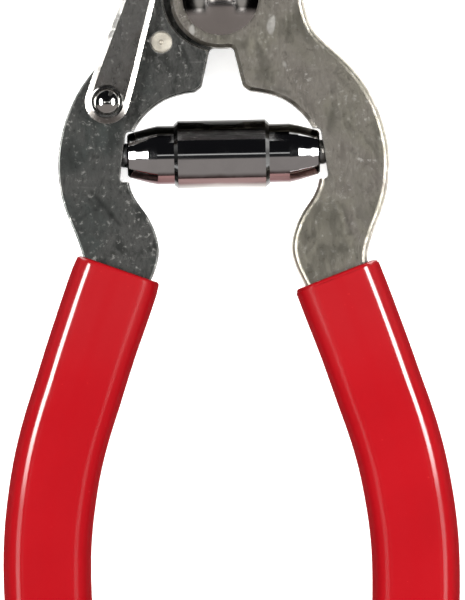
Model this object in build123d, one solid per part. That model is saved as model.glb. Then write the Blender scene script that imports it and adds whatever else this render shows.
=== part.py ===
from build123d import *
import math
import os

# Magazine fencing pliers: two half-lapped forged arms on a domed pivot bolt, dipped grips,
# a telescoping barrel over the return spring, and a side link that drives a ring feeder on the head.
#
# Frame: millimetres. Origin on the pivot axis at the lap plane, +Z towards the bolt head (front),
# +Y towards the jaws, +X towards the right handle. The arms are modelled fully open.
# The files are written shifted along Z, so that the rear face of the nut lies at zero.

os.makedirs("parts", exist_ok=True)

# ---------------------------------------------------------------- shared sizes
PIVOT = (0, 0)
ARM_T = 8.0
ARM_Z = ARM_T / 2       # front face of the arms; the rear face is at -ARM_Z
FIT = 0.02              # gap left between fitted parts
BORE_REACH = 20         # half length of the cutters for through holes

# Pivot
HUB_R = 10.1            # lapped hub disc
BORE_R = 4.05
BOLT_R = 4.0            # shank
HEAD_R, HEAD_H = 7.6, 3.3
WASHER_R, WASHER_T = 7.6, 1.0
NUT_AF = 13.0           # across flats
NUT_H = 3.6
NUT_Z1 = -ARM_Z - 1.05
NUT_Z0 = NUT_Z1 - NUT_H
NUT_FLOOR = 0.9

# Spring seats on the arms
SEAT_X, SEAT_Y = 19.3, -31.2    # point each spring cup swings about
BALL_R = 2.5                    # ball of the stud
SEAT_FACE_X = 20.2              # flat on the arm behind the stud

# Link and stop pin
LINK_ARM_PIN = (-22.97, -20.55)
LINK_SLIDE_PIN = (-12.20, 12.40)
LINK_Z0, LINK_T = 4.6, 2.5
LINK_Z1 = LINK_Z0 + LINK_T
LINK_PIN_R = 2.0
SLIDE_PIN_R = 1.5
SLIDE_PIN_PLAY = 0.62           # radial clearance of the link around the slide pin
STOP_PIN = (-11.97, -8.77)
STOP_PIN_R = 2.15

# Feed slide: travel is tilted from +Y towards +X
FEED_ANGLE = math.radians(8.0)
TRAVEL_X, TRAVEL_Y = math.sin(FEED_ANGLE), math.cos(FEED_ANGLE)
FEED_STROKE = 5.70
SLIDE_Z0, SLIDE_Z1 = 7.3, 9.1
BLADE_REAR = (-2.56, 20.3)      # middle of the blade's rear end
GUIDE_CENTRE = (-14.9, 20.7)
GUIDE_PITCH = 3.8
GUIDE_R = 1.2                   # shoulder of each guide screw

# Magazine
MAG_X0, MAG_X1, MAG_Y0, MAG_Y1 = -10.8, 10.8, 24.8, 42.0
MAG_Z0, MAG_Z1, MAG_WALL = 4.3, 54.0, 1.1
MAG_CX, MAG_CY = (MAG_X0 + MAG_X1) / 2, (MAG_Y0 + MAG_Y1) / 2
MAG_SCREWS = [(-14.9, 29.2), (-14.6, 36.6)]


# ---------------------------------------------------------------- helpers
def outline(*edges):
    return make_face(Wire(list(edges)).edges())


def polygon(*points):
    return make_face(Polyline(*points, close=True).edges())


def prism(sketch, z0, z1):
    return extrude(Pos(0, 0, z0) * sketch, amount=z1 - z0, dir=(0, 0, 1))


def rod(centre, radius, z0, z1):
    return Pos(centre[0], centre[1], (z0 + z1) / 2) * Cylinder(radius, z1 - z0)


def bore(centre, radius):
    """Cutter for a hole along Z that passes right through a part."""
    return rod(centre, radius, -BORE_REACH, BORE_REACH)


def barrel_rod(radius, x0, x1):
    """Cylinder on the barrel axis, between two places in X."""
    return Pos((x0 + x1) / 2, SEAT_Y, 0) * Rot(0, 90, 0) * Cylinder(radius, abs(x1 - x0))


def block(x0, x1, y0, y1, z0, z1):
    centre = Pos((x0 + x1) / 2, (y0 + y1) / 2, (z0 + z1) / 2)
    return centre * Box(x1 - x0, y1 - y0, z1 - z0)


def turned(profile):
    """Revolve a face drawn as (radius, z) about Z."""
    return revolve(Plane.XZ * profile, Axis.Z)


def barrel_turned(profile):
    """Revolve (x, radius) points about the barrel axis."""
    face = polygon(*[(x, SEAT_Y + radius) for x, radius in profile])
    return revolve(face, Axis((0, SEAT_Y, 0), (1, 0, 0)))


def stadium(start, end, start_r, end_r=None):
    """Area enclosed by a circle at each end and their outer tangents."""
    end_r = start_r if end_r is None else end_r
    dx, dy = end[0] - start[0], end[1] - start[1]
    heading = math.atan2(dy, dx)
    spread = math.acos((start_r - end_r) / math.hypot(dx, dy))
    left_start, right_start, left_end, right_end = [
        (centre[0] + radius * math.cos(heading + side * spread),
         centre[1] + radius * math.sin(heading + side * spread))
        for centre, radius in ((start, start_r), (end, end_r)) for side in (1, -1)]
    middle = polygon(left_start, left_end, right_end, right_start)
    return middle + Pos(*start) * Circle(start_r) + Pos(*end) * Circle(end_r)


def offset_path(points, first, last):
    """Path moved to the left of travel by a distance that runs from first to last."""
    moved = []
    count = len(points)
    for i, (x, y) in enumerate(points):
        before, after = points[max(0, i - 1)], points[min(count - 1, i + 1)]
        dx, dy = after[0] - before[0], after[1] - before[1]
        length = math.hypot(dx, dy)
        distance = first + (last - first) * i / (count - 1)
        moved.append((x - dy / length * distance, y + dx / length * distance))
    return moved


def mushroom(centre, head_r, head_z, head_h, shank_r, shank_z, lip=0.5):
    """Domed head with an upright lip, on a plain shank that reaches down to shank_z."""
    rise = head_h - lip
    dome_r = (head_r ** 2 + rise ** 2) / (2 * rise)
    half_angle = math.asin(head_r / dome_r) / 2
    top = head_z + head_h
    crown = (dome_r * math.sin(half_angle), top - dome_r + dome_r * math.cos(half_angle))
    profile = outline(
        Line((0, shank_z), (shank_r, shank_z)),
        Line((shank_r, shank_z), (shank_r, head_z)),
        Line((shank_r, head_z), (head_r, head_z)),
        Line((head_r, head_z), (head_r, head_z + lip)),
        ThreePointArc((head_r, head_z + lip), crown, (0, top)),
        Line((0, top), (0, shank_z)),
    )
    return Pos(*centre, 0) * turned(profile)


def cap_screw(centre, head_r, head_h, head_z, shank, socket_r, socket_depth):
    """Hex socket screw; shank is a list of (radius, z0, z1)."""
    top = head_z + head_h
    screw = rod(centre, head_r, head_z, top)
    screw = chamfer(edges_at(screw, top), 0.35)
    for radius, z0, z1 in shank:
        screw += rod(centre, radius, z0, z1)
    socket = extrude(RegularPolygon(socket_r, 6), socket_depth + 1)
    screw -= Pos(*centre, top - socket_depth) * socket
    return one(screw)


def coil(turns, height, radius, wire_r):
    path = Helix(pitch=height / turns, height=height, radius=radius)
    return sweep(Plane(origin=path @ 0, z_dir=path % 0) * Circle(wire_r), path=path)


def one(shape):
    """The single largest solid of a result."""
    return max(shape.solids(), key=lambda s: s.volume)


def edges_at(shape, z):
    return [e for e in shape.edges() if abs(e.center().Z - z) < 1e-4]


def flat_edges(solid, z, low, high):
    """Edges lying in the plane at z whose length is between low and high."""
    return [e for e in edges_at(solid, z)
            if abs(e.bounding_box().size.Z) < 1e-4 and low < e.length < high]


def round_edges(solid, edges, radius, steps=(1.0, 0.8, 0.6)):
    """Fillet with the largest share of the radius that works."""
    for step in steps:
        # Guards against a radius the kernel cannot build; the next one is smaller.
        try:
            out = fillet(edges, radius * step)
            if out.is_valid and abs(out.volume - solid.volume) < 0.2 * solid.volume:
                return out
        except Exception:
            pass
    return solid


def try_chamfer(solid, edges, size, low, high):
    """Chamfer, kept only if valid and if the volume removed is between low and high."""
    # Guards against edges the kernel cannot chamfer, which stay sharp.
    try:
        out = chamfer(edges, size)
        removed = solid.volume - out.volume
        if out.is_valid and low < removed < high and removed != 0:
            return out
    except Exception:
        pass
    return solid


def save(name, shape):
    shape = Pos(0, 0, -NUT_Z0) * shape
    shape.label = name
    export_step(shape, "parts/" + name + ".step")


def save_pair(name, right):
    """Write a right-hand part and its mirror image on the left."""
    save("right_" + name, one(right))
    save("left_" + name, one(mirror(right, Plane.YZ)))


# ---------------------------------------------------------------- arm outlines
# All (x, y). The handle tables are for the right side and run from the hub to the grip.
HANDLE_OUTER = [
    (16.75, 4.2), (16.5, 1.8), (16.52, -0.7), (16.85, -2.73), (17.41, -4.74), (18.3, -6.8),
    (20.0, -8.85), (22.2, -10.85), (24.4, -12.9), (26.25, -14.95), (27.9, -17.1), (29.2, -19.2),
    (30.25, -21.3), (31.15, -23.4), (31.85, -25.5), (32.4, -27.6), (32.9, -30.5), (33.05, -33.4),
    (32.9, -36.4), (32.45, -39.2), (31.85, -41.5), (31.1, -43.6), (30.3, -45.6), (29.5, -47.6),
    (28.8, -49.7), (28.35, -51.8)]
HANDLE_INNER = [
    (5.5, -18.75), (8.4, -19.2), (11.9, -20.4), (14.8, -22.4), (16.7, -24.4), (17.9, -26.3),
    (18.75, -28.6), (19.2, -32.0), (19.25, -35.2), (18.65, -38.2), (17.55, -40.4), (16.1, -42.4),
    (14.9, -44.4), (14.05, -46.4), (13.5, -48.4), (13.3, -50.4), (13.65, -52.7), (14.4, -54.9),
    (15.6, -57.4)]
# Centre line of the grip, from its mouth to its end
SPINE = [
    (22.05, -55.65), (23.35, -59.2), (25.1, -64.0), (26.9, -69.0), (28.6, -74.0), (30.25, -79.0),
    (31.95, -84.0), (33.45, -89.0), (34.65, -94.0), (35.55, -99.0), (36.25, -104.0),
    (36.7, -109.0), (36.85, -114.0), (36.8, -119.0), (36.6, -124.0), (36.3, -129.0),
    (35.95, -134.0)]
TANG_SPINE = SPINE[2:15]
TANG_W0, TANG_W1 = 13.9, 11.6       # width at the top and at the end
TANG_TIP = (-0.3, -5.2)             # rounded end, from the last spine point

NOTCH_ANGLE = math.radians(13.15)   # half angle of the notch between the stop tabs
TAB_R = 18.25                       # distance of the tab's corner from the pivot

# The jaw on the +X side, from hub to tip and from tip back to hub
JAW_OUTER = [
    (16.95, 6.1), (17.6, 10.0), (18.3, 16.0), (18.5, 22.0), (18.1, 28.0), (17.2, 34.0),
    (15.7, 39.5), (13.6, 43.8), (11.6, 46.3)]
JAW_TIP = (10.1, 46.4)
JAW_INNER = [
    (9.35, 45.0), (10.3, 43.0), (11.1, 40.5), (11.45, 37.5), (11.5, 33.0), (11.3, 28.0),
    (10.9, 22.0), (10.0, 17.6), (8.2, 14.4), (5.4, 12.2), (2.6, 10.9)]

# Pocket for the spring cup, cut into the inner edge of each arm, with a leaning floor
POCKET_LEAN = math.radians(8.0)
POCKET_X0 = 16.0
POCKET_TOP, POCKET_LOW = -26.35, -36.55
POCKET_CORNER_R = 0.9


def handle_outline():
    """Right handle with its tang, closed through the pivot."""
    tab = (TAB_R * math.sin(NOTCH_ANGLE), -TAB_R * math.cos(NOTCH_ANGLE))
    outer = HANDLE_OUTER + offset_path(TANG_SPINE, TANG_W0 / 2, TANG_W1 / 2)
    inner = HANDLE_INNER + offset_path(TANG_SPINE, -TANG_W0 / 2, -TANG_W1 / 2)[1:]
    end_x, end_y = TANG_SPINE[-1]
    return outline(
        Line(PIVOT, tab),
        Line(tab, inner[0]),
        Spline(*inner),
        ThreePointArc(outer[-1], (end_x + TANG_TIP[0], end_y + TANG_TIP[1]), inner[-1]),
        Spline(*outer),
        Line(outer[0], PIVOT),
    )


def jaw_outline():
    """Jaw on the +X side, closed through the pivot."""
    return outline(
        Line(PIVOT, JAW_OUTER[0]),
        Spline(*JAW_OUTER),
        ThreePointArc(JAW_OUTER[-1], JAW_TIP, JAW_INNER[0]),
        Spline(*JAW_INNER),
        Line(JAW_INNER[-1], PIVOT),
    )


def pocket_outline():
    top_x, low_x = [SEAT_FACE_X + (SEAT_Y - y) * math.tan(POCKET_LEAN)
                    for y in (POCKET_TOP, POCKET_LOW)]
    pocket = polygon((POCKET_X0, POCKET_TOP), (top_x, POCKET_TOP),
                     (low_x, POCKET_LOW), (POCKET_X0, POCKET_LOW))
    return fillet([v for v in pocket.vertices() if v.X > 18], POCKET_CORNER_R)


HANDLE_RIGHT = handle_outline()
HANDLE_LEFT = mirror(HANDLE_RIGHT, Plane.YZ)
JAW_PLUS_X = jaw_outline()                      # belongs to the left arm
JAW_MINUS_X = mirror(JAW_PLUS_X, Plane.YZ)      # belongs to the right arm
POCKET_RIGHT = pocket_outline()
POCKET_LEFT = mirror(POCKET_RIGHT, Plane.YZ)

# ---------------------------------------------------------------- arms
LAP = 0.05                  # gap from the lap plane to each hub disc
RECESS_R = 10.6             # recess on the rear of the right arm
FACE_RECESS_R = 11.0        # wider recess on the front of the left arm
FACE_RECESS_CENTRE = (-0.60, 0.45)
NOTCH_TOP_R, NOTCH_LOW_R = 1.15, 0.9
HUB_EDGE_R, HUB_JAW_EASE = 1.15, 0.7    # handle rounding and jaw chamfer, hub layer
FAR_EDGE_R, FAR_JAW_EASE = 0.35, 0.4    # the same on the recessed layer
RIM_EASE = 0.28             # chamfer on the hub disc and around the recess
JAW_EDGE_LENGTHS = ((39.0, 45.0), (36.0, 39.0), (13.0, 15.2))
GROOVE_X, GROOVE_Y = 2.3, 38.6          # round groove in the inner edge of each jaw
GROOVE_R, GROOVE_Z0, GROOVE_Z1 = 10.2, 0.8, 3.0
STUD_BORE_R = 1.62


def round_notch(sketch, hub_r):
    """Round the notch where it meets the hub circle, and the free corners of the tab."""
    for low, high, radius in ((hub_r - 1.2, hub_r + 1.2, NOTCH_TOP_R),
                              (17.6, 20.6, NOTCH_LOW_R)):
        corners = [v for v in sketch.vertices()
                   if low < math.hypot(v.X, v.Y) < high and v.Y < -8 and abs(v.X) < 7.2]
        for step in (1.0, 0.75, 0.5):
            # Guards against a radius too large for the corner; the next one is smaller.
            try:
                sketch = fillet(corners, radius * step)
                break
            except Exception:
                continue
    return sketch


def soften(solid, z, radius, jaw_ease):
    """Round the long handle edges, then ease the jaw edges."""
    handle = flat_edges(solid, z, 90.0, 300.0)
    if handle:
        tips = [e for e in flat_edges(solid, z, 16.5, 18.0) if e.center().Y < -118]
        solid = round_edges(solid, handle + tips, radius)
    for low, high in JAW_EDGE_LENGTHS:
        edges = flat_edges(solid, z, low, high)
        if edges:
            solid = try_chamfer(solid, edges, jaw_ease, 0, 60)
    return solid


def ease_rim(solid, z):
    """Small chamfer on the circular edges around the hub. All are picked before the first cut."""
    arcs = [e for e in flat_edges(solid, z, 3.0, 60.0) if e.geom_type == GeomType.CIRCLE
            and 9.5 < math.hypot((e @ 0.5).X, (e @ 0.5).Y) < 12.5]
    for arc in arcs:
        solid = try_chamfer(solid, [arc], RIM_EASE, -10, 10)
    return solid


def forging(handle, jaw, pocket, recess, recess_r, front):
    """One arm: a layer with the hub disc and a recessed layer. front is +1 if the disc is
    towards +Z, -1 if it is towards -Z."""
    hub = round_notch(handle + jaw + Circle(HUB_R) - pocket, HUB_R)
    far = round_notch((handle + jaw) - recess - pocket, recess_r)
    hub_z, far_z = front * ARM_Z, -front * ARM_Z
    lap_z = front * LAP
    hub_layer = prism(hub, min(hub_z, lap_z), max(hub_z, lap_z))
    far_layer = prism(far, min(far_z, lap_z), max(far_z, lap_z))
    body = ease_rim(soften(one(hub_layer), hub_z, HUB_EDGE_R, HUB_JAW_EASE), hub_z)
    for solid in far_layer.solids():
        body = body + ease_rim(soften(solid, far_z, FAR_EDGE_R, FAR_JAW_EASE), far_z)
    return body


def cut_shared(arm, side):
    """Cuts both arms have; side is +1 for the right arm, -1 for the left."""
    arm -= Pos(side * SEAT_X, SEAT_Y, 0) * Sphere(BALL_R + 0.03)
    arm -= rod((-side * GROOVE_X, GROOVE_Y), GROOVE_R, GROOVE_Z0, GROOVE_Z1)
    arm -= bore(PIVOT, BORE_R)
    arm -= barrel_rod(STUD_BORE_R, side * (SEAT_FACE_X - 2), side * (SEAT_FACE_X + 5.2))
    return arm


def along(travel, across=0.0, origin=BLADE_REAR):
    """Point at a distance along the feed travel and to the right of it."""
    return (origin[0] + travel * TRAVEL_X + across * TRAVEL_Y,
            origin[1] + travel * TRAVEL_Y - across * TRAVEL_X)


GUIDES = [along(side * GUIDE_PITCH / 2, 0, GUIDE_CENTRE) for side in (-1, 1)]


def right_arm():
    arm = forging(HANDLE_RIGHT, JAW_MINUS_X, POCKET_RIGHT, Circle(RECESS_R), RECESS_R, 1)
    arm = cut_shared(arm, 1)
    for centre in GUIDES:
        arm -= rod(centre, 0.92, -0.5, 9)
    for centre in MAG_SCREWS:
        arm -= rod(centre, 1.27, -1.5, 9)
    return one(arm)


def left_arm():
    recess = Pos(*FACE_RECESS_CENTRE) * Circle(FACE_RECESS_R)
    arm = forging(HANDLE_LEFT, JAW_PLUS_X, POCKET_LEFT, recess, FACE_RECESS_R, -1)
    arm = cut_shared(arm, -1)
    arm -= bore(LINK_ARM_PIN, LINK_PIN_R + FIT)
    arm -= rod(STOP_PIN, STOP_PIN_R + FIT, 1.0, 9)
    return one(arm)


save("right_arm", right_arm())
save("left_arm", left_arm())

# ---------------------------------------------------------------- dipped grips
GRIP_W, GRIP_T = 17.7, 12.4
MOUTH_OUTER, MOUTH_INNER = (30.2, -52.75), (13.9, -58.5)
GRIP_TIP = (-0.55, -7.65)       # rounded end, from the last spine point
GRIP_EDGE_R, MOUTH_EDGE_R = 4.6, 1.3
LONGER_THAN_MOUTH = 17.35       # leaves the mouth edges out of the rim


def right_grip():
    outer = offset_path(SPINE, GRIP_W / 2, GRIP_W / 2)
    inner = offset_path(SPINE, -GRIP_W / 2, -GRIP_W / 2)
    outer[0], inner[0] = MOUTH_OUTER, MOUTH_INNER
    end_x, end_y = SPINE[-1]
    tip = ThreePointArc(outer[-1], (end_x + GRIP_TIP[0], end_y + GRIP_TIP[1]), inner[-1])
    sketch = outline(Line(inner[0], outer[0]), Spline(*outer), tip, Spline(*inner))
    grip = prism(sketch, -GRIP_T / 2, GRIP_T / 2)

    rim = [e for e in grip.edges()
           if abs(abs(e.center().Z) - GRIP_T / 2) < 1e-4 and e.length > LONGER_THAN_MOUTH]
    grip = round_edges(grip, rim, GRIP_EDGE_R, (1.0, 0.9, 0.8, 0.6))

    slope = (MOUTH_OUTER[1] - MOUTH_INNER[1]) / (MOUTH_OUTER[0] - MOUTH_INNER[0])

    def on_mouth(p):
        return abs(p.Y - MOUTH_OUTER[1] - (p.X - MOUTH_OUTER[0]) * slope) < 0.25

    mouth = [e for e in grip.edges()
             if e.length > 0.5 and all(on_mouth(p) for p in (e @ 0, e @ 0.5, e @ 1))]
    grip = round_edges(grip, mouth, MOUTH_EDGE_R, (1.0, 0.7, 0.5, 0.3))
    return one(grip - prism(HANDLE_RIGHT, -ARM_Z, ARM_Z))


save_pair("grip", right_grip())

# ---------------------------------------------------------------- pivot bolt, washer, nut
NUT_REAR_R, NUT_CONE_R, NUT_CONE_H = 6.55, 7.7, 0.7     # cone that bevels the rear corners


def pivot_washer():
    front = -ARM_Z - FIT
    return one(rod(PIVOT, WASHER_R, front - WASHER_T, front) - bore(PIVOT, BOLT_R + 0.1))


def pivot_nut():
    """Closed nut; its bore stops short of the rear face."""
    nut = prism(RegularPolygon(NUT_AF / 2, 6, major_radius=False), NUT_Z0, NUT_Z1)
    cone = turned(polygon((0, NUT_Z0), (NUT_REAR_R, NUT_Z0), (NUT_CONE_R, NUT_Z0 + NUT_CONE_H),
                          (NUT_CONE_R, NUT_Z1), (0, NUT_Z1)))
    return one((nut & cone) - rod(PIVOT, BOLT_R + FIT, NUT_Z0 + NUT_FLOOR, 0))


save("pivot_bolt", one(mushroom(PIVOT, HEAD_R, ARM_Z + FIT, HEAD_H, BOLT_R,
                                NUT_Z0 + NUT_FLOOR + FIT)))
save("pivot_washer", pivot_washer())
save("pivot_nut", pivot_nut())

# ---------------------------------------------------------------- return spring in its barrel
CUP_R, CUP_WALL = 5.9, 0.55
CUP_MOUTH_X = 8.0
CUP_PROFILE = [     # (x, radius), outside and then inside
    (CUP_MOUTH_X, CUP_R), (13.2, CUP_R), (15.0, 5.5), (17.6, 4.75), (18.9, 4.35), (19.2, 4.0),
    (19.2, 2.95), (18.6, 2.95), (18.6, 3.8), (17.6, 4.2), (14.9, 4.95),
    (13.1, CUP_R - CUP_WALL), (CUP_MOUTH_X, CUP_R - CUP_WALL)]

SLEEVE_R, SLEEVE_WALL = 6.86, 0.5
SLEEVE_X0, SLEEVE_X1 = -0.35 - 9.5, -0.35 + 9.5
SLEEVE_LIP_R, SLEEVE_MOUTH_R = 6.2, 6.02
SLEEVE_BORE_R = SLEEVE_R - SLEEVE_WALL
SLEEVE_PROFILE = [  # (x, radius)
    (SLEEVE_X0, SLEEVE_MOUTH_R), (SLEEVE_X0, SLEEVE_LIP_R), (SLEEVE_X0 + 0.75, SLEEVE_R),
    (SLEEVE_X1 - 0.75, SLEEVE_R), (SLEEVE_X1, SLEEVE_LIP_R), (SLEEVE_X1, SLEEVE_MOUTH_R),
    (SLEEVE_X1 - 0.5, SLEEVE_MOUTH_R), (SLEEVE_X1 - 0.9, SLEEVE_BORE_R),
    (SLEEVE_X0 + 0.9, SLEEVE_BORE_R), (SLEEVE_X0 + 0.5, SLEEVE_MOUTH_R)]

STUD_R, STUD_NOSE_R, STUD_NOSE_X = 1.6, 1.9, 15.4
SPRING_R, SPRING_WIRE_R = 2.95, 0.5
SPRING_TURNS = 11
SPRING_END_X = 17.6


def right_spring_stud():
    """Shank in the arm, the ball, and a nose that points into the spring."""
    stud = (barrel_rod(STUD_R, SEAT_X, SEAT_FACE_X + 5.0)
            + Pos(SEAT_X, SEAT_Y, 0) * Sphere(BALL_R)
            + barrel_rod(STUD_NOSE_R, STUD_NOSE_X, SEAT_X))
    return chamfer([e for e in stud.edges() if abs(e.center().X - STUD_NOSE_X) < 1e-3], 0.5)


def return_spring():
    spring = coil(SPRING_TURNS, 2 * SPRING_END_X, SPRING_R, SPRING_WIRE_R)
    return one(Pos(-SPRING_END_X, SEAT_Y, 0) * Rot(0, 90, 0) * spring)


save_pair("spring_cup", barrel_turned(CUP_PROFILE))
save("spring_sleeve", one(barrel_turned(SLEEVE_PROFILE)))
save_pair("spring_stud", right_spring_stud())
save("return_spring", return_spring())

# ---------------------------------------------------------------- side link and its pins
LINK_DX = LINK_SLIDE_PIN[0] - LINK_ARM_PIN[0]
LINK_DY = LINK_SLIDE_PIN[1] - LINK_ARM_PIN[1]
LINK_LENGTH = math.hypot(LINK_DX, LINK_DY)
# (distance from the arm pin, half width)
LINK_STATIONS = [(0, 4.35), (6, 4.12), (12, 3.75), (20, 3.3), (28, 3.0), (LINK_LENGTH, 2.9)]
# Ring around the head of the link pivot pin: (radius, height above the link)
PIN_RIM_PROFILE = [(2.06, 0.03), (3.35, 0.03), (3.35, 0.45), (3.05, 0.95), (2.7, 0.95),
                   (2.5, 0.55), (2.06, 0.4)]
STOP_TOP = ARM_Z + 0.42


def link_outline():
    ux, uy = LINK_DX / LINK_LENGTH, LINK_DY / LINK_LENGTH

    def beside(distance, offset):
        """Point at a distance from the arm pin, offset to the right of the centre line."""
        return (LINK_ARM_PIN[0] + ux * distance + uy * offset,
                LINK_ARM_PIN[1] + uy * distance - ux * offset)

    left = [beside(distance, -half) for distance, half in LINK_STATIONS]
    right = [beside(distance, half) for distance, half in LINK_STATIONS]
    foot = ThreePointArc(left[0], beside(-LINK_STATIONS[0][1], 0), right[0])
    top = ThreePointArc(left[-1], beside(LINK_LENGTH + LINK_STATIONS[-1][1], 0), right[-1])
    return outline(foot, Spline(*right), top, Spline(*left))


def feed_link():
    link = prism(link_outline(), LINK_Z0, LINK_Z1)
    # Guards against a rim the kernel cannot chamfer; the link then keeps square edges.
    try:
        eased = chamfer(edges_at(link, LINK_Z1), 1.05, 0.42,
                        reference=link.faces().sort_by(Axis.Z)[-1])
        link = eased if eased.is_valid else link
    except Exception:
        pass
    link -= bore(LINK_ARM_PIN, LINK_PIN_R + 0.05)
    link -= bore(LINK_SLIDE_PIN, SLIDE_PIN_R + SLIDE_PIN_PLAY)
    return one(link)


def link_spacer():
    spacer = rod(LINK_ARM_PIN, 3.5, ARM_Z + FIT, LINK_Z0 - 0.03)
    return one(spacer - bore(LINK_ARM_PIN, LINK_PIN_R + 0.06))


def link_pin_rim():
    profile = polygon(*[(radius, LINK_Z1 + height) for radius, height in PIN_RIM_PROFILE])
    return one(Pos(*LINK_ARM_PIN, 0) * turned(profile))


def stop_pin():
    """Plain pin with a dimple in its front end."""
    pin = rod(STOP_PIN, STOP_PIN_R, 1.4, STOP_TOP)
    pin = chamfer(edges_at(pin, STOP_TOP), 0.3)
    pin -= Pos(*STOP_PIN, ARM_Z + 0.65) * Sphere(0.62)
    return one(pin)


save("feed_link", feed_link())
save("link_spacer", link_spacer())
save("link_pin_rim", link_pin_rim())
save("link_pivot_pin", one(mushroom(LINK_ARM_PIN, 2.42, LINK_Z1 + 0.62, 1.15, LINK_PIN_R,
                                    -ARM_Z + 0.3, lip=0.12)))
save("stop_pin", stop_pin())
save("link_slide_pin", one(mushroom(LINK_SLIDE_PIN, 2.5, SLIDE_Z1 + FIT, 1.3, SLIDE_PIN_R,
                                    LINK_Z0 - 0.15, lip=0.35)))

# ---------------------------------------------------------------- feed slide, blade and guide
BLADE_W, BLADE_L = 4.4, 10.1
BLADE_Z0, BLADE_Z1 = 0.9, 2.9
RISER_S0, RISER_S1 = 0.1, 3.7       # post from the blade up to the slide, along the travel
BAR_W = 3.1                         # bar of the slide that crosses over the blade
BAR_REACH = 13.4                    # its reach to the left of the blade
RIVET = along(BAR_W / 2)
RIVET_R, RIVET_HEAD_R = 1.0, 1.4
STRIP_R = 2.6                       # end radius of the slotted strip


def feed_rectangle(s0, s1, v0, v1):
    """Rectangle from s0 to s1 along the travel and v0 to v1 across it."""
    return polygon(along(s0, v0), along(s1, v0), along(s1, v1), along(s0, v1))


def feed_slide():
    plate = stadium(along(-2.6, 0, GUIDES[0]), along(FEED_STROKE + 0.6, 0, GUIDES[1]), STRIP_R)
    plate += stadium(LINK_SLIDE_PIN, along(0.5, 0, GUIDES[0]), 3.0, 2.8)
    plate += feed_rectangle(0.0, BAR_W, -BAR_REACH, BLADE_W / 2)
    slide = prism(plate, SLIDE_Z0, SLIDE_Z1)
    slot = stadium(GUIDES[0], along(FEED_STROKE, 0, GUIDES[1]), GUIDE_R + 0.08)
    slide -= prism(slot, 0, 20)
    slide -= bore(LINK_SLIDE_PIN, SLIDE_PIN_R + FIT)
    slide -= bore(RIVET, RIVET_R + FIT)
    slide = one(slide)
    rim = [e for e in edges_at(slide, SLIDE_Z1) if e.length > 2.3]
    return one(round_edges(slide, rim, 0.35, (1.0, 0.6, 0.3)))


def pusher_blade():
    """Blade with a hollowed leading end, a riser and the rivet through the slide."""
    half = BLADE_W / 2
    blade = (prism(feed_rectangle(0.0, BLADE_L, -half, half), BLADE_Z0, BLADE_Z1)
             + prism(feed_rectangle(RISER_S0, RISER_S1, -half, half),
                     BLADE_Z1 - 0.1, SLIDE_Z0 - FIT))
    blade += (rod(RIVET, RIVET_R, SLIDE_Z0 - 0.5, SLIDE_Z1 + FIT)
              + rod(RIVET, RIVET_HEAD_R, SLIDE_Z1 + FIT, SLIDE_Z1 + 0.6))
    blade -= bore(along(BLADE_L + 0.9), 1.6)
    return one(blade)


def guide_block():
    guide = prism(stadium(*GUIDES, 3.0), ARM_Z + FIT, SLIDE_Z0 - 0.05)
    for centre in GUIDES:
        guide -= bore(centre, GUIDE_R + 0.03)
    return one(guide)


def guide_screw(centre):
    head_z = SLIDE_Z1 + 0.05
    return cap_screw(centre, head_r=1.8, head_h=1.4, head_z=head_z,
                     shank=[(GUIDE_R, ARM_Z, head_z), (0.9, 0.0, ARM_Z)],
                     socket_r=1.0, socket_depth=0.8)


save("feed_slide", feed_slide())
save("pusher_blade", pusher_blade())
save("guide_block", guide_block())
save("guide_screws", Compound(children=[guide_screw(centre) for centre in GUIDES]))

# ---------------------------------------------------------------- ring magazine
TIP_SLOT_Z = (MAG_Z0 + 5, MAG_Z1 - 4)       # slot in the +Y wall, between its end centres
TIP_SLOT_R = 2.6
SIDE_SLOT_Z = (MAG_Z0 + 9, MAG_Z1 - 9)      # slot in the +X wall
SIDE_SLOT_R = 3.0
FLANGE_Z1 = 5.5
RIB_PROFILE = [     # (x, z)
    (MAG_X0 + 0.3, 5.4), (MAG_X0 - 4.3, 5.4), (MAG_X0 - 0.2, 13.0), (MAG_X0 + 0.3, 13.0)]
RIB_Y, RIB_T = 33.5, 1.2
FOLLOWER_INSET = MAG_WALL + 0.25
TONGUE_Z0, TONGUE_Z1 = MAG_Z0 + 5.4, MAG_Z0 + 9.5   # follower tongue through the +Y slot
KNOB_R, KNOB_L = 4.2, 3.8
FOLLOWER_SPRING_Z = MAG_Z0 + 9.75
CAP_Z1 = MAG_Z1 + 2.2


def mag_prism(inset, corner_r, z0, z1):
    """Block with rounded corners, set in from the outside of the magazine."""
    body = block(MAG_X0 + inset, MAG_X1 - inset, MAG_Y0 + inset, MAG_Y1 - inset, z0, z1)
    return fillet(body.edges().filter_by(Axis.Z), corner_r)


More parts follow.
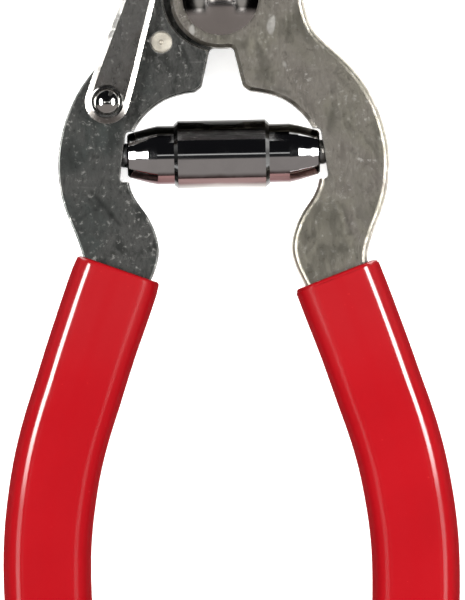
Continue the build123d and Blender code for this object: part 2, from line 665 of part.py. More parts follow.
def magazine_box():
    box = mag_prism(0, 2.2, MAG_Z0, MAG_Z1)
    box -= mag_prism(MAG_WALL, 1.1, MAG_Z0 - 1, MAG_Z1 + 1)
    box -= block(MAG_CX - TIP_SLOT_R, MAG_CX + TIP_SLOT_R, MAG_Y1 - 3, MAG_Y1 + 2, *TIP_SLOT_Z)
    box -= block(MAG_X1 - 3, MAG_X1 + 2, MAG_CY - SIDE_SLOT_R, MAG_CY + SIDE_SLOT_R,
                 *SIDE_SLOT_Z)
    for z in TIP_SLOT_Z:
        box -= Pos(MAG_CX, MAG_Y1 - 0.5, z) * Rot(90, 0, 0) * Cylinder(TIP_SLOT_R, 5)
    for z in SIDE_SLOT_Z:
        box -= Pos(MAG_X1 - 0.5, MAG_CY, z) * Rot(0, 90, 0) * Cylinder(SIDE_SLOT_R, 5)

    flange = block(-17.7, MAG_X0 + 0.6, 26.0, 39.6, ARM_Z + FIT, FLANGE_Z1)
    flange = fillet([e for e in flange.edges().filter_by(Axis.Z) if e.center().X < -17], 2.4)
    rib = Pos(0, RIB_Y, 0) * extrude(Plane.XZ * polygon(*RIB_PROFILE), amount=RIB_T)
    box = box + flange + rib
    for centre in MAG_SCREWS:
        box -= rod(centre, 1.35, 0, FLANGE_Z1 + 0.1)
    # Squares off the sides of the cavity at its lower end.
    box -= block(MAG_X0 + MAG_WALL, MAG_X1 - MAG_WALL, MAG_Y0 + MAG_WALL + 0.9,
                 MAG_Y1 - MAG_WALL - 0.9, MAG_Z0 - 1, MAG_Z0 + 3)
    return one(box)


def magazine_screw(centre):
    head_z = FLANGE_Z1 + FIT
    return cap_screw(centre, head_r=2.3, head_h=1.45, head_z=head_z,
                     shank=[(1.25, -1.0, head_z)], socket_r=1.15, socket_depth=0.8)


def magazine_follower():
    """Plate with a spring peg on top and a tongue that reaches out to the knob."""
    follower = mag_prism(FOLLOWER_INSET, 1.2, MAG_Z0 + 5.2, MAG_Z0 + 9.7)
    follower += rod((MAG_CX, MAG_CY), 3.3, MAG_Z0 + 9.6, MAG_Z0 + 13.5)
    follower += block(MAG_CX - 2.2, MAG_CX + 2.2, MAG_Y1 - FOLLOWER_INSET - 1, MAG_Y1 + 3.2,
                      TONGUE_Z0, TONGUE_Z1)
    return one(follower)


def follower_knob():
    centre = Pos(MAG_CX, MAG_Y1 + 3.25 + KNOB_L / 2, (TONGUE_Z0 + TONGUE_Z1) / 2)
    knob = centre * Rot(90, 0, 0) * Cylinder(KNOB_R, KNOB_L)
    return one(fillet(knob.edges(), 1.0))


def follower_spring():
    height = MAG_Z1 - 0.1 - FOLLOWER_SPRING_Z - 0.9
    spring = coil(13, height, 4.6, 0.4)
    return one(Pos(MAG_CX, MAG_CY, FOLLOWER_SPRING_Z + 0.45) * spring)


def magazine_cap():
    """Lid with a hollowed plug that fits inside the box."""
    cap = mag_prism(-0.6, 2.7, MAG_Z1 + FIT, CAP_Z1)
    cap = chamfer(edges_at(cap, CAP_Z1), 0.7)
    plug = mag_prism(MAG_WALL + 0.05, 1.15, MAG_Z1 - 3.0, MAG_Z1 + 0.1)
    plug -= rod((MAG_CX, MAG_CY), 6.0, MAG_Z1 - 4, MAG_Z1 - 0.05)
    return one(cap + plug)


save("magazine_box", magazine_box())
save("magazine_screws", Compound(children=[magazine_screw(centre) for centre in MAG_SCREWS]))
save("magazine_follower", magazine_follower())
save("follower_knob", follower_knob())
save("follower_spring", follower_spring())
save("magazine_cap", magazine_cap())
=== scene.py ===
"""Looks, dipped grips, springs and studio for a pair of magazine fencing pliers.

The pliers lie flat on z = 0, with the handles running towards -Y, the left handle at -X
and the follower spring standing along +Z. Blender works in metres; outlines, stations
and springs are given in millimetres and scaled by MM.
"""
import bpy
import bmesh
import math
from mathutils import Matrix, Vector


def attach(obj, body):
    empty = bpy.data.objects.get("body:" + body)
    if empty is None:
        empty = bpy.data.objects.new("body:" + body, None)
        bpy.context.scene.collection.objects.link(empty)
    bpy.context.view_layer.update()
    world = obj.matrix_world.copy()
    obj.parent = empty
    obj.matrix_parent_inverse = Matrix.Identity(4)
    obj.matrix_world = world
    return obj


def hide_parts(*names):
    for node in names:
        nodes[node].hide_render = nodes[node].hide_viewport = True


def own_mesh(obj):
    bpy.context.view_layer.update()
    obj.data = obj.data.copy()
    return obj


MM = 0.001                         # one millimetre in metres
LAP_Z = 0.00865                    # lap plane above the nut's rear face, metres

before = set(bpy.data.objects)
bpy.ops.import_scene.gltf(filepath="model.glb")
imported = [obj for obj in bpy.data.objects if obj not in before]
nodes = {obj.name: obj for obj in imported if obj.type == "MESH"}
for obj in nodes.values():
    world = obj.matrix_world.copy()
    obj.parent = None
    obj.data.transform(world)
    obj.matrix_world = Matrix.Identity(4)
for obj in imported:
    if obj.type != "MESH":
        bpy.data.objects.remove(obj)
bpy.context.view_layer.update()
scene = bpy.context.scene


# ---------------------------------------------------------------- shader node helpers
def shade(color, factor):
    return tuple(channel * factor for channel in color)


class Shader:
    """A cleared node tree, short ways to add nodes, and a running colour for paint()."""

    def __init__(self, owner, output, shader, coords):
        owner.use_nodes = True
        self.owner = owner
        self.tree = owner.node_tree
        self.tree.nodes.clear()
        end = self.node(output)
        self.shader = self.node(shader)
        self.put(end.inputs[0], self.shader.outputs[0])
        self.coords = self.node("TexCoord").outputs[coords]
        self.color = None

    def node(self, kind, inputs=None, **props):
        node = self.tree.nodes.new("ShaderNode" + kind)
        for key, value in props.items():
            setattr(node, key, value)
        for key, value in (inputs or {}).items():
            self.put(node.inputs[key], value)
        return node

    def put(self, socket, value):
        """Link a socket, or set a plain value; colours are given without alpha."""
        if isinstance(value, bpy.types.NodeSocket):
            self.tree.links.new(value, socket)
        elif socket.type == "RGBA":
            socket.default_value = (*value, 1.0)
        else:
            socket.default_value = value

    def set(self, name, value):
        self.put(self.shader.inputs[name], value)

    def math(self, operation, a, b=0.0):
        return self.node("Math", {0: a, 1: b}, operation=operation).outputs[0]

    def add(self, a, b):
        return self.math("ADD", a, b)

    def sub(self, a, b):
        return self.math("SUBTRACT", a, b)

    def mul(self, a, b):
        return self.math("MULTIPLY", a, b)

    def length(self, x, y):
        return self.math("SQRT", self.add(self.mul(x, x), self.mul(y, y)))

    def split(self, vector):
        return self.node("SeparateXYZ", {0: vector}).outputs

    def normal(self):
        """The surface normal's x, y and z."""
        return self.split(self.node("NewGeometry").outputs["Normal"])

    def ramp(self, value, over, to=(0.0, 1.0)):
        """Ease from to[0] to to[1] as the value crosses the range `over`."""
        inputs = {"Value": value, "From Min": over[0], "From Max": over[1],
                  "To Min": to[0], "To Max": to[1]}
        return self.node("MapRange", inputs, interpolation_type="SMOOTHSTEP").outputs["Result"]

    def paint(self, color, mask, over=None, to=(0.0, 1.0)):
        """Lay a colour over the running one where the mask, ramped if asked, is 1."""
        if over is not None:
            mask = self.ramp(mask, over, to)
        inputs = {"Factor": mask, "A": self.color, "B": color}
        self.color = self.node("Mix", inputs, data_type="RGBA").outputs["Result"]

    def mapped(self, scale=(1, 1, 1), turn=0.0, offset=(0, 0, 0)):
        """Coordinates stretched, turned about z and shifted."""
        inputs = {"Scale": scale, "Rotation": (0, 0, turn), "Location": offset,
                  "Vector": self.coords}
        return self.node("Mapping", inputs).outputs["Vector"]

    def noise(self, scale, detail, rough=0.5, warp=0.0, at=None):
        inputs = {"Scale": scale, "Detail": detail, "Roughness": rough, "Distortion": warp,
                  "Vector": self.coords if at is None else at}
        return self.node("TexNoise", inputs).outputs["Fac"]

    def relief(self, *layers):
        """Stack bumps on the surface, each given as (height, strength, distance in metres)."""
        normal = None
        for height, strength, distance in layers:
            inputs = {"Strength": strength, "Distance": distance, "Height": height}
            if normal is not None:
                inputs["Normal"] = normal
            normal = self.node("Bump", inputs).outputs["Normal"]
        self.set("Normal", normal)

    def edge(self, radius):
        """1 on edges, 0 on flats; used for edge wear and painted edge highlights."""
        bevel = self.node("Bevel", {"Radius": radius}, samples=4)
        facing = self.node("VectorMath", {
            0: bevel.outputs["Normal"],
            1: self.node("NewGeometry").outputs["Normal"],
        }, operation="DOT_PRODUCT")
        return self.ramp(self.sub(1.0, facing.outputs["Value"]), over=(0.03, 0.3))

    def smudge(self, start, end, width):
        """1 along a segment (mm, seen from above), fading to 0 at a wobbly width."""
        place = self.split(self.coords)
        x = self.sub(place[0], start[0] * MM)
        y = self.sub(place[1], start[1] * MM)
        run_x = (end[0] - start[0]) * MM
        run_y = (end[1] - start[1]) * MM
        square = run_x * run_x + run_y * run_y
        along = self.add(self.mul(x, run_x / square), self.mul(y, run_y / square))
        along = self.math("MINIMUM", self.math("MAXIMUM", along, 0.0), 1.0)
        away = self.length(self.sub(x, self.mul(along, run_x)),
                           self.sub(y, self.mul(along, run_y)))
        width *= MM
        wobble = self.mul(self.noise(scale=500, detail=4, rough=0.6), width * 0.9)
        return self.ramp(self.add(away, wobble), over=(width * 0.2, width * 1.3), to=(1.0, 0.0))


def new_material(name):
    material = bpy.data.materials.new(name)
    return Shader(material, "OutputMaterial", "BsdfPrincipled", "Object")


# ---------------------------------------------------------------- materials
# `rough` pairs are (lowest, highest) roughness
def steel(name, dark, light, tint, rough=(0.3, 0.5), edge_color=(0.9, 0.88, 0.84),
          edge_radius=0.0005, pitting=1.0, seed=0.0, dark_lines_and_shade=()):
    """Lightly oiled forging: mottled grey, fine pits, faint scratches, bright edges of wear and
    painted highlight.
    """
    mat = new_material(name)
    plain = mat.mapped(offset=(seed, seed * 0.7, seed * 0.3))
    tall = mat.mapped(scale=(1.0, 0.45, 1.0), turn=0.12, offset=(seed, seed, 0))
    fine = mat.noise(scale=900, detail=6, rough=0.7, warp=0.3, at=plain)
    grain = mat.noise(scale=480, detail=5, rough=0.65, warp=0.8, at=tall)
    blotch = mat.noise(scale=230, detail=5, rough=0.62, warp=1.0, at=tall)
    cloud = mat.noise(scale=70, detail=3, rough=0.55, warp=0.8, at=plain)
    # weights of the three scales of mottling add up to 1
    mottle = mat.add(mat.mul(grain, 0.36), mat.add(mat.mul(blotch, 0.40), mat.mul(cloud, 0.24)))

    mat.color = dark
    mat.paint(light, mottle, over=(0.40, 0.60))
    mat.paint(tint, cloud, over=(0.42, 0.66), to=(0.0, 0.7))
    mat.paint(edge_color, fine, over=(0.56, 0.70), to=(0.0, 0.45))
    mat.paint(shade(dark, 0.45), fine, over=(0.44, 0.32), to=(0.0, 0.45))
    # bright flecks: painted glints
    glint_fleck_at = mat.mapped(scale=(1.0, 0.4, 1.0), turn=-0.25, offset=(seed + 4, 0, 0))
    glint_flecks = mat.noise(scale=330, detail=1.5, warp=0.2, at=glint_fleck_at)
    mat.paint(edge_color, glint_flecks, over=(0.70, 0.76), to=(0.0, 0.55))
    for i, turn in enumerate((0.9, -0.6)):
        scratch_at = mat.mapped(scale=(0.25, 3.5, 1.0), turn=turn, offset=(seed, 3 + i, 0))
        scratches = mat.noise(scale=420, detail=1, at=scratch_at)
        mat.paint(edge_color, scratches, over=(0.76, 0.82), to=(0.0, 0.10))
    # dark lines on the surface, some of them painted shade
    for start, end, width, depth in dark_lines_and_shade:
        mat.paint(shade(dark, 0.35), mat.mul(mat.smudge(start, end, width), depth))
    # bright edges: edge wear together with a painted highlight
    edge_wear_and_highlight = mat.mul(mat.edge(edge_radius), mat.ramp(fine, over=(0.3, 0.6), to=(0.5, 1.0)))
    mat.paint(edge_color, edge_wear_and_highlight)

    mat.set("Base Color", mat.color)
    mat.set("Metallic", 1.0)
    roughness = mat.ramp(mottle, over=(0.38, 0.62), to=rough[::-1])
    mat.set("Roughness", mat.sub(roughness, mat.mul(edge_wear_and_highlight, 0.12)))
    swell = mat.noise(scale=60, detail=2, warp=0.3, at=plain)
    mat.relief((swell, 0.3, 0.0005), (blotch, 0.4 * pitting, 0.00016),
               (grain, 0.4 * pitting, 0.00007), (fine, 0.3 * pitting, 0.00003))
    return mat.owner


def paint_flanks(mat, smears, lower, lowest, upper):
    """Reflected bands: faces turned to -Y, hard to -Y, to +Y, and the x ends."""
    normal = mat.normal()
    facing_y = mat.add(normal[1], mat.mul(mat.sub(smears, 0.5), 0.10))
    mat.paint(lower, facing_y, over=(-0.72, -0.55), to=(1.0, 0.0))
    mat.paint(lowest, facing_y, over=(-0.93, -0.84), to=(1.0, 0.0))
    mat.paint(upper, facing_y, over=(0.52, 0.70))
    mat.paint((0.10, 0.10, 0.10), mat.math("ABSOLUTE", normal[0]), over=(0.42, 0.58))


def paint_crown(mat):
    """Painted dark reflection: near-black on the x sides of a dome, except where it turns to
    -Y.
    """
    normal = mat.normal()
    side = mat.ramp(mat.math("ABSOLUTE", normal[0]), over=(0.20, 0.28))
    not_lower = mat.ramp(normal[1], over=(-0.34, -0.18))
    mat.paint((0.016, 0.015, 0.014), mat.mul(side, not_lower))


def chrome(name, base, rough, wave=0.05, flanks=None, crown=False):
    """Plated or polished steel with smudges, hairlines and a slight ripple."""
    mat = new_material(name)
    smears = mat.noise(scale=140, detail=5, rough=0.6, warp=0.7)
    hairlines = mat.noise(scale=500, detail=2, at=mat.mapped(scale=(0.08, 2.5, 2.5)))
    mat.color = base
    mat.paint(shade(base, 0.72), smears, over=(0.4, 0.7), to=(0.0, 0.25))
    # painted highlight along the edges, fainter where reflected bands are painted
    edge_highlight_gain = 0.15 if flanks else 0.5
    mat.paint((0.95, 0.95, 0.94), mat.mul(mat.edge(0.0003), edge_highlight_gain))
    if flanks:
        paint_flanks(mat, smears, *flanks)
    if crown:
        paint_crown(mat)
    mat.set("Base Color", mat.color)
    mat.set("Metallic", 1.0)
    mat.set("Roughness", mat.add(mat.ramp(smears, over=(0.35, 0.7), to=rough),
                                 mat.ramp(hairlines, over=(0.62, 0.75), to=(0.0, 0.06))))
    mat.relief((mat.noise(scale=90, detail=2), wave, 0.0004), (hairlines, 0.05, 0.00003))
    return mat.owner


def plated(name, base, dark, rough=(0.22, 0.4), metallic=1.0):
    """Zinc plating: soft grey bloom, turned marks, edges brightened by a painted highlight."""
    mat = new_material(name)
    bloom = mat.noise(scale=350, detail=6, rough=0.6, warp=0.5)
    turned = mat.noise(scale=1500, detail=2, at=mat.mapped(scale=(0.3, 0.3, 2.0)))
    mat.color = dark
    mat.paint(base, bloom, over=(0.35, 0.7))
    # painted highlight along the edges
    mat.paint((0.9, 0.9, 0.9), mat.mul(mat.edge(0.00025), 0.7))
    mat.set("Base Color", mat.color)
    mat.set("Metallic", metallic)
    mat.set("Roughness", mat.ramp(bloom, over=(0.3, 0.7), to=rough[::-1]))
    mat.relief((turned, 0.12, 0.00004), (bloom, 0.1, 0.00004))
    return mat.owner


def vinyl(name, base, deep):
    """Dipped vinyl: slow colour drift, orange peel, scuffs and a glossier outer shoulder."""
    mat = new_material(name)
    drift = mat.noise(scale=28, detail=3, warp=0.4)
    peel = mat.noise(scale=220, detail=3)
    speck = mat.noise(scale=1300, detail=2)
    scuff_at = mat.mapped(scale=(0.5, 0.12, 1.0), turn=0.4)
    scuff = mat.noise(scale=260, detail=3, rough=0.6, at=scuff_at)
    normal_x = mat.normal()[0]
    lean = mat.math("ABSOLUTE", normal_x)
    x, y, z = mat.split(mat.coords)

    mat.color = deep
    mat.paint(base, drift, over=(0.35, 0.7))
    mat.paint((0.62, 0.05, 0.05), speck, over=(0.72, 0.8), to=(0.0, 0.2))
    # painted shade on the steep sides
    mat.paint(shade(base, 0.45), lean, over=(0.55, 0.95), to=(0.0, 0.75))
    mat.set("Base Color", mat.color)
    mat.set("Roughness", mat.add(mat.ramp(peel, over=(0.3, 0.7), to=(0.42, 0.50)),
                                 mat.ramp(scuff, over=(0.66, 0.78), to=(0.0, 0.14))))
    mat.set("Subsurface Weight", 0.04)
    mat.set("Subsurface Radius", (0.002, 0.0004, 0.0003))
    # the sheen dies away on the sides and towards the handle ends
    mat.set("Specular IOR Level", mat.mul(
        mat.ramp(lean, over=(0.45, 0.75), to=(0.09, 0.0)),
        mat.ramp(y, over=(-0.082, -0.060), to=(0.2, 1.0))))

    # the coat lies where the normal leans away from x = 0, but not on the steep sides
    outward = mat.ramp(mat.mul(normal_x, mat.mul(x, 30.0)), over=(0.02, 0.25))
    outward = mat.mul(outward, mat.ramp(lean, over=(0.50, 0.62), to=(1.0, 0.0)))
    along = mat.ramp(mat.add(y, mat.mul(drift, 0.01)), over=(-0.097, -0.070), to=(0.05, 1.0))
    gloss = mat.add(mat.mul(mat.mul(outward, along), 0.97), 0.02)
    mat.set("Coat Weight", mat.mul(gloss, mat.ramp(scuff, over=(0.62, 0.74), to=(1.0, 0.6))))
    mat.set("Coat Roughness", mat.ramp(peel, over=(0.3, 0.7), to=(0.09, 0.14)))
    mat.set("Coat IOR", 1.9)
    mat.relief((mat.noise(scale=45, detail=2), 0.20, 0.0006), (peel, 0.10, 0.00010),
               (speck, 0.05, 0.00003))
    return mat.owner


def plastic(name, base):
    """Dusty moulded plastic with a fine grain and paler edges."""
    mat = new_material(name)
    grain = mat.noise(scale=2200, detail=3, rough=0.6)
    dust = mat.noise(scale=180, detail=5, rough=0.6, warp=0.5)
    mat.color = base
    mat.paint((0.10, 0.10, 0.095), dust, over=(0.5, 0.8), to=(0.0, 0.3))
    mat.paint((0.16, 0.16, 0.16), mat.mul(mat.edge(0.0005), 0.35))
    mat.set("Base Color", mat.color)
    mat.set("Roughness", mat.ramp(dust, over=(0.3, 0.7), to=(0.42, 0.62)))
    mat.set("Specular IOR Level", 0.25)
    mat.relief((grain, 0.25, 0.00006))
    return mat.owner


# dark lines on the arms, the last row of each list painted shade where the spring cup meets the
# arm: start (x, y) mm, end (x, y) mm, width mm, depth 0 to 1
LEFT_DARK_LINES_AND_SHADE = (
    ((-26.3, -38.5), (-22.6, -43.0), 1.3, 0.55),
    ((-22.6, -43.0), (-21.0, -45.0), 0.9, 0.5),
    ((-29.5, -44.0), (-24.5, -41.0), 0.9, 0.3),
    ((-14.5, -11.2), (-11.0, -12.0), 1.2, 0.4),
    # painted shade where the spring cup meets the arm
    ((-20.0, -33.5), (-19.9, -36.4), 1.5, 0.92),
)
RIGHT_DARK_LINES_AND_SHADE = (
    ((23.5, -42.0), (25.2, -47.8), 1.0, 0.5),
    ((26.5, -37.5), (29.5, -40.0), 0.8, 0.25),
    ((22.6, -15.5), (26.0, -19.5), 0.9, 0.3),
    ((8.2, -18.0), (13.5, -19.3), 1.0, 0.35),
    # painted shade where the spring cup meets the arm
    ((20.0, -33.5), (19.9, -36.4), 1.5, 0.92),
)

# one steel for both arms: painted shade makes the left darker and painted light makes the right
# lighter
shaded_left_steel = steel("steel_left_shaded", dark=(0.045, 0.046, 0.044), light=(0.205, 0.205, 0.197),
                   tint=(0.080, 0.092, 0.088), dark_lines_and_shade=LEFT_DARK_LINES_AND_SHADE)
lit_right_steel = steel("steel_right_lit", dark=(0.165, 0.150, 0.133), light=(0.47, 0.435, 0.385),
                    tint=(0.285, 0.270, 0.218), seed=1.7, dark_lines_and_shade=RIGHT_DARK_LINES_AND_SHADE)
link_steel = steel("steel_link", dark=(0.115, 0.112, 0.108), light=(0.34, 0.33, 0.315),
                   tint=(0.20, 0.18, 0.168), rough=(0.26, 0.42),
                   edge_color=(0.95, 0.93, 0.88), edge_radius=0.0006, pitting=0.7, seed=3.1)
feed_steel = steel("steel_feed", dark=(0.22, 0.22, 0.225), light=(0.42, 0.42, 0.42),
                   tint=(0.28, 0.28, 0.29), rough=(0.24, 0.40), pitting=0.6, seed=5.3)
box_steel = steel("steel_magazine", dark=(0.075, 0.075, 0.076), light=(0.16, 0.16, 0.158),
                  tint=(0.11, 0.106, 0.102), rough=(0.34, 0.50), pitting=0.6, seed=7.9)
dome_metal = chrome("polished_dome", base=(0.62, 0.585, 0.565), rough=(0.11, 0.18), crown=True)
pin_metal = chrome("polished_pin", base=(0.74, 0.73, 0.71), rough=(0.06, 0.16))
sleeve_metal = chrome(
    "sleeve_chrome", base=(0.80, 0.80, 0.81), rough=(0.04, 0.10), wave=0.07,
    flanks=((0.125, 0.080, 0.078), (0.22, 0.198, 0.188), (0.030, 0.028, 0.024)))
barrel_metal = chrome(
    "barrel_chrome", base=(0.80, 0.80, 0.81), rough=(0.03, 0.09), wave=0.07,
    flanks=((0.120, 0.066, 0.064), (0.080, 0.012, 0.014), (0.030, 0.028, 0.024)))
pin_bright = plated("ground_pin", base=(0.66, 0.62, 0.53), dark=(0.30, 0.275, 0.23),
                    rough=(0.34, 0.5), metallic=0.6)
zinc = plated("zinc_plate", base=(0.70, 0.71, 0.72), dark=(0.46, 0.47, 0.49))
spring_wire = plated("spring_wire", base=(0.42, 0.41, 0.40), dark=(0.22, 0.22, 0.22),
                     rough=(0.2, 0.34))
grip_red = vinyl("grip_vinyl_red", base=(0.262, 0.0036, 0.0066), deep=(0.235, 0.0030, 0.0056))
black_plastic = plastic("black_plastic", base=(0.018, 0.018, 0.019))

# CAD pieces not named here are zinc plated
CAD_MATERIALS = {
    "left_arm": shaded_left_steel, "right_arm": lit_right_steel, "feed_link": link_steel,
    "feed_slide": feed_steel, "pusher_blade": feed_steel, "guide_block": feed_steel,
    "magazine_box": box_steel, "magazine_cap": black_plastic,
    "pivot_bolt": dome_metal, "link_pin_rim": pin_metal, "link_pivot_pin": pin_metal,
    "stop_pin": pin_bright, "link_slide_pin": pin_metal,
    "right_spring_cup": barrel_metal, "left_spring_cup": barrel_metal,
    "spring_sleeve": sleeve_metal, "return_spring": spring_wire,
    "follower_spring": spring_wire, "magazine_follower": black_plastic,
    "follower_knob": black_plastic,
}
SHARP_ANGLE = math.radians(24)

for name, piece in nodes.items():
    piece.data.materials.clear()
    piece.data.materials.append(CAD_MATERIALS.get(name, zinc))
    for polygon in piece.data.polygons:
        polygon.material_index = 0
        polygon.use_smooth = True
    piece.data.set_sharp_from_angle(angle=SHARP_ANGLE)


# ---------------------------------------------------------------- mesh helpers
def add_object(name, data, material):
    obj = bpy.data.objects.new(name, data)
    scene.collection.objects.link(obj)
    data.materials.append(material)
    return obj


def bridge(mesh, rings):
    """Join each ring of vertices to the next with quads."""
    for ring, after in zip(rings, rings[1:]):
        count = len(ring)
        for i in range(count):
            j = (i + 1) % count
            mesh.faces.new((ring[i], ring[j], after[j], after[i]))


def finish_mesh(name, mesh, material):
    """Turn a bmesh into a smooth-shaded object."""
    bmesh.ops.recalc_face_normals(mesh, faces=mesh.faces)
    data = bpy.data.meshes.new(name)
    mesh.to_mesh(data)
    mesh.free()
    for polygon in data.polygons:
        polygon.use_smooth = True
    return add_object(name, data, material)


# ---------------------------------------------------------------- dipped grips, mm
# centre line of the right grip from mouth to end: x, y
GRIP_SPINE = [
    (22.05, -55.65), (23.35, -59.2), (25.1, -64.0), (26.9, -69.0), (28.6, -74.0),
    (30.25, -79.0), (31.95, -84.0), (33.45, -89.0), (34.65, -94.0), (35.55, -99.0),
    (36.25, -104.0), (36.7, -109.0), (36.85, -114.0), (36.8, -119.0), (36.6, -124.0),
    (36.3, -129.0), (35.95, -134.0),
]
SPINE_STEPS = 5                    # path steps between spine points
CORNER_STEPS = 7                   # segments round each corner of a section
GRIP_WIDTH = 8.82                  # half width, across the spine
GRIP_DEPTH = 6.17                  # half depth, along z
GRIP_CORNER = 4.65                 # corner radius of the body sections
GRIP_TAPER = 0.10                  # half width lost from TAPER_START to the end
TAPER_START = 0.55                 # share of the path
MOUTH_BULGE = 0.05                 # half width gained just behind the mouth
MOUTH_WIDTH = GRIP_WIDTH - 0.15    # half width at the mouth
END_WIDTH = GRIP_WIDTH - GRIP_TAPER
END_LENGTH = 7.65                  # reach of the rounded end, before its last ring
# mouth sections: distance in from the mouth, inset from the outer skin
MOUTH_INSIDE = ((4.2, 1.30), (1.6, 1.28), (0.5, 1.22))
MOUTH_LIP = ((0.12, 1.0), (0.0, 0.72), (0.05, 0.42), (0.22, 0.18), (0.55, 0.02), (1.2, 0.0))


def catmull(points, steps):
    """A Catmull-Rom curve through the points."""
    curve = []
    last = len(points) - 1
    for i in range(last):
        before, start, end, after = (
            Vector(points[j]) for j in (max(0, i - 1), i, i + 1, min(last, i + 2)))
        for k in range(steps):
            t = k / steps
            curve.append(0.5 * (
                (2 * start) + (-before + end) * t
                + (2 * before - 5 * start + 4 * end - after) * t * t
                + (-before + 3 * start - 3 * end + after) * t ** 3))
    curve.append(Vector(points[-1]))
    return curve


def rounded_rectangle(width, depth, corner):
    """Outline with the given half width and half depth, counted anticlockwise."""
    corner = min(corner, width * 0.98, depth * 0.98)
    x, y = width - corner, depth - corner
    points = []
    for centre_x, centre_y, start in ((x, y, 0), (-x, y, 90), (-x, -y, 180), (x, -y, 270)):
        for k in range(CORNER_STEPS + 1):
            angle = math.radians(start + 90 * k / CORNER_STEPS)
            points.append((centre_x + corner * math.cos(angle),
                           centre_y + corner * math.sin(angle)))
    return points


def grip_sections(path):
    """Sections as (centre, tangent, half width, half depth, corner radius)."""
    sections = []
    mouth = path[0]
    tangent = (path[1] - mouth).normalized()
    for distance, inset in MOUTH_INSIDE:
        sections.append((mouth + tangent * distance, tangent,
                         MOUTH_WIDTH - inset, GRIP_DEPTH - inset - 0.7, 3.2))
    for distance, inset in MOUTH_LIP:
        sections.append((mouth + tangent * distance, tangent,
                         MOUTH_WIDTH - inset, GRIP_DEPTH - inset, 4.5 - inset * 0.6))

    last = len(path) - 1
    for i in range(1, last + 1):
        tangent = (path[min(last, i + 1)] - path[i - 1]).normalized()
        share = i / last
        bulge = MOUTH_BULGE * math.sin(min(1.0, share * 6) * math.pi)
        taper = GRIP_TAPER * max(0.0, share - TAPER_START) / (1 - TAPER_START)
        sections.append((path[i], tangent, GRIP_WIDTH + bulge - taper, GRIP_DEPTH, GRIP_CORNER))

    # rounded end, stopping short of 90 degrees so that the last ring stays open
    tangent = (path[-1] - path[-2]).normalized()
    for k in range(1, 10):
        angle = math.radians(90 * k / 9.6)
        shrink = math.cos(angle) ** 0.8
        sections.append((path[-1] + tangent * (END_LENGTH * math.sin(angle)), tangent,
                         END_WIDTH * shrink, GRIP_DEPTH * (0.25 + 0.75 * shrink),
                         GRIP_CORNER * (0.3 + 0.7 * shrink)))
    return sections


def make_grip(name, side, body, cad, rise=0.0):
    """A grip at +X (side 1) or -X (side -1), its mouth moved up the arm by `rise`."""
    path = catmull(GRIP_SPINE, SPINE_STEPS)
    path[0] -= (path[1] - path[0]).normalized() * rise
    mesh = bmesh.new()
    rings = []
    for centre, tangent, width, depth, corner in grip_sections(path):
        across = Vector((-tangent.y, tangent.x))
        ring = []
        for offset, z in rounded_rectangle(width, depth, corner):
            point = centre + across * offset
            ring.append(mesh.verts.new((side * point.x * MM, point.y * MM, z * MM + LAP_Z)))
        rings.append(ring)
    bridge(mesh, rings)
    mesh.faces.new(rings[-1])
    mesh.normal_update()
    grip = finish_mesh(name, mesh, grip_red)
    smoothing = grip.modifiers.new("sub", "SUBSURF")
    smoothing.levels = smoothing.render_levels = 2
    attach(grip, body)
    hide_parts(cad)


make_grip("grip_right_dipped", 1, "right_side", "right_grip")
make_grip("grip_left_dipped", -1, "left_side", "left_grip", rise=2.0)


# ---------------------------------------------------------------- springs, mm
TURN_STEPS = 26                    # path steps per turn
WIRE_SIDES = 8
CLOSE_TURNS = 0.75                 # closely wound turns at each end
CLOSE_PITCH = 2.1                  # their pitch, in wire radii


def coil_height(turn, turns, length, wire):
    """Height of the wire's centre after a number of turns."""
    bottom, top = wire, length - wire
    pitch = wire * CLOSE_PITCH
    if turn < CLOSE_TURNS:
        return bottom + pitch * turn
    if turn > turns - CLOSE_TURNS:
        return top - pitch * (turns - turn)
    open_length = top - bottom - 2 * pitch * CLOSE_TURNS
    open_share = (turn - CLOSE_TURNS) / (turns - 2 * CLOSE_TURNS)
    return bottom + pitch * CLOSE_TURNS + open_length * open_share


def make_coil(name, start, axis, length, radius, wire, turns, body, cad):
    """A wire of radius `wire` wound along the axis."""
    axle = Vector(axis)
    first = Vector((0, 1, 0)) if abs(axle.x) > 0.5 else Vector((1, 0, 0))
    second = axle.cross(first)
    last = int(TURN_STEPS * turns)
    path = []
    for i in range(last + 1):
        turn = i / TURN_STEPS
        angle = 2 * math.pi * turn
        path.append(axle * coil_height(turn, turns, length, wire)
                    + first * (radius * math.cos(angle)) + second * (radius * math.sin(angle)))
    mesh = bmesh.new()
    rings = []
    for i, point in enumerate(path):
        tangent = (path[min(last, i + 1)] - path[max(0, i - 1)]).normalized()
        outward = (point - axle * point.dot(axle)).normalized()
        upward = tangent.cross(outward).normalized()
        outward = upward.cross(tangent).normalized()
        ring = []
        for k in range(WIRE_SIDES):
            angle = 2 * math.pi * k / WIRE_SIDES
            skin = point + (outward * math.cos(angle) + upward * math.sin(angle)) * wire
            ring.append(mesh.verts.new((Vector(start) + skin) * MM))
        rings.append(ring)
    bridge(mesh, rings)
    mesh.faces.new(rings[0])
    mesh.faces.new(rings[-1])
    spring = finish_mesh(name, mesh, spring_wire)
    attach(spring, body)
    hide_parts(cad)
    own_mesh(spring)


LAP = LAP_Z / MM
RETURN_REACH = 17.6                # each end of the return spring from x = 0
RETURN_Y = -31.2
FOLLOWER_BASE = (0.0, 33.4, LAP + 14.5)

make_coil("return_spring_coil", start=(-RETURN_REACH, RETURN_Y, LAP), axis=(1, 0, 0),
          length=2 * RETURN_REACH, radius=3.3, wire=0.45, turns=11,
          body="right_cup", cad="return_spring")
make_coil("follower_spring_coil", start=FOLLOWER_BASE, axis=(0, 0, 1),
          length=38.95, radius=4.6, wire=0.4, turns=13,
          body="follower", cad="follower_spring")


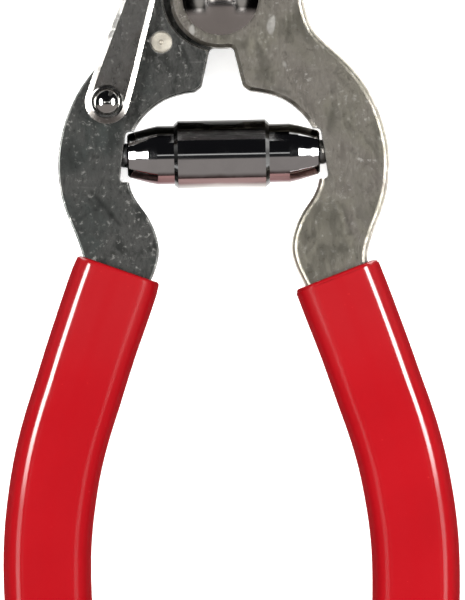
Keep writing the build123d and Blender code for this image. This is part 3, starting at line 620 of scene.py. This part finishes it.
# ---------------------------------------------------------------- floor
FLOOR_HALF = 4.0
FLOOR_Z = -0.0002                  # just under the pliers


def floor_material():
    """Near-white, faintly glowing paper."""
    mat = new_material("floor_white")
    soft = mat.noise(scale=3.0, detail=3)
    mat.color = (0.93, 0.93, 0.93)
    mat.paint((0.96, 0.96, 0.955), soft, over=(0.3, 0.7))
    mat.set("Base Color", mat.color)
    mat.set("Roughness", mat.ramp(soft, over=(0.3, 0.7), to=(0.55, 0.65)))
    mat.set("Specular IOR Level", 0.15)
    mat.set("Emission Color", (1, 1, 1))
    mat.set("Emission Strength", 0.55)
    return mat.owner


floor_data = bpy.data.meshes.new("floor")
floor_corners = [(x * FLOOR_HALF, y * FLOOR_HALF, FLOOR_Z)
                 for x, y in ((-1, -1), (1, -1), (1, 1), (-1, 1))]
floor_data.from_pydata(floor_corners, [], [(0, 1, 2, 3)])
add_object("floor", floor_data, floor_material())

# ---------------------------------------------------------------- world
# oval softboxes overhead, in direction components: x, y, x radius, y stretch, brightness
SOFTBOXES = (
    (-0.66, 0.0, 0.13, 2.6, 16.0),
    (0.66, 0.0, 0.13, 2.6, 16.0),
    (-0.28, -0.05, 0.07, 1.0, 2.2),
    (0.30, -0.05, 0.06, 1.0, 1.8),
)


def build_world():
    """A dark sky with bright low sides, an overhead strip and softboxes."""
    world = bpy.data.worlds.new("studio")
    scene.world = world
    sky = Shader(world, "OutputWorld", "Background", "Generated")
    x, y, z = sky.split(sky.coords)

    def inside(distance, limit, soft):
        return sky.sub(1.0, sky.ramp(distance, over=(limit - soft, limit + soft)))

    def overhead(mask):
        return sky.mul(mask, sky.ramp(z, over=(0.0, 0.05)))

    # the sky darkens in two steps towards +Y
    sky.color = (0.25, 0.228, 0.218)
    sky.paint((0.016, 0.016, 0.017), y, over=(-0.33, -0.25))
    sky.paint((0.006, 0.006, 0.007), y, over=(0.02, 0.07))

    # bright sides near the horizon: all of +X, and -X towards +Y
    low = sky.sub(1.0, sky.ramp(z, over=(0.08, 0.16)))
    right = sky.ramp(x, over=(0.05, 0.45))
    left = sky.sub(1.0, sky.ramp(x, over=(-0.45, -0.05)))
    sky.paint((2.4, 2.4, 2.35), sky.mul(low, right))
    far_left = sky.mul(left, sky.ramp(y, over=(-0.3, 0.3)))
    sky.paint((0.7, 0.7, 0.69), sky.mul(low, far_left))

    # a strip along x
    across = inside(sky.math("ABSOLUTE", sky.sub(x, 0.0)), limit=0.30, soft=0.02)
    along = inside(sky.math("ABSOLUTE", sky.sub(y, -0.035)), limit=0.03, soft=0.02)
    sky.paint((0.55, 0.55, 0.54), overhead(sky.mul(across, along)))

    for box_x, box_y, radius, stretch, glow in SOFTBOXES:
        away = sky.length(sky.sub(x, box_x), sky.mul(sky.sub(y, box_y), 1.0 / stretch))
        sky.paint((glow, glow, glow * 0.985), overhead(inside(away, radius, soft=0.03)))
    sky.set("Color", sky.color)
    sky.set("Strength", 1.0)


build_world()

# ---------------------------------------------------------------- lights
LIGHT_TARGET = Vector((0, -0.06, 0))
# name, place, size, watts
LIGHTS = (
    ("key_overhead", (0.0, -0.05, 1.6), 1.6, 17),
    ("left_box", (-0.9, 0.1, 0.8), 0.6, 4.5),
    ("right_box", (0.9, 0.1, 0.8), 0.6, 5),
)
for name, place, size, power in LIGHTS:
    light = bpy.data.lights.new(name, "AREA")
    light.shape = "SQUARE"
    light.size = size
    light.energy = power
    lamp = bpy.data.objects.new(name, light)
    scene.collection.objects.link(lamp)
    lamp.location = place
    lamp.rotation_euler = (LIGHT_TARGET - Vector(place)).to_track_quat("-Z", "Y").to_euler()
    lamp.visible_glossy = False    # only the world shows in reflections

# ---------------------------------------------------------------- camera, looking down
CAMERA_DISTANCE = 1.25             # above the lap plane
VIEW_WIDTH = 0.120                 # width seen at the lap plane
SENSOR_WIDTH = 36.0

lens = bpy.data.cameras.new("camera")
camera = bpy.data.objects.new("camera", lens)
scene.collection.objects.link(camera)
lens.sensor_fit = "AUTO"
lens.sensor_width = SENSOR_WIDTH
lens.lens = SENSOR_WIDTH * CAMERA_DISTANCE / VIEW_WIDTH
lens.clip_start = 0.05
lens.clip_end = 20.0
camera.location = (1.22 * MM, -60.44 * MM, LAP_Z + CAMERA_DISTANCE)
camera.rotation_euler = (0, 0, -0.01957)
scene.camera = camera
scene.view_settings.view_transform = "Standard"
scene.view_settings.look = "None"
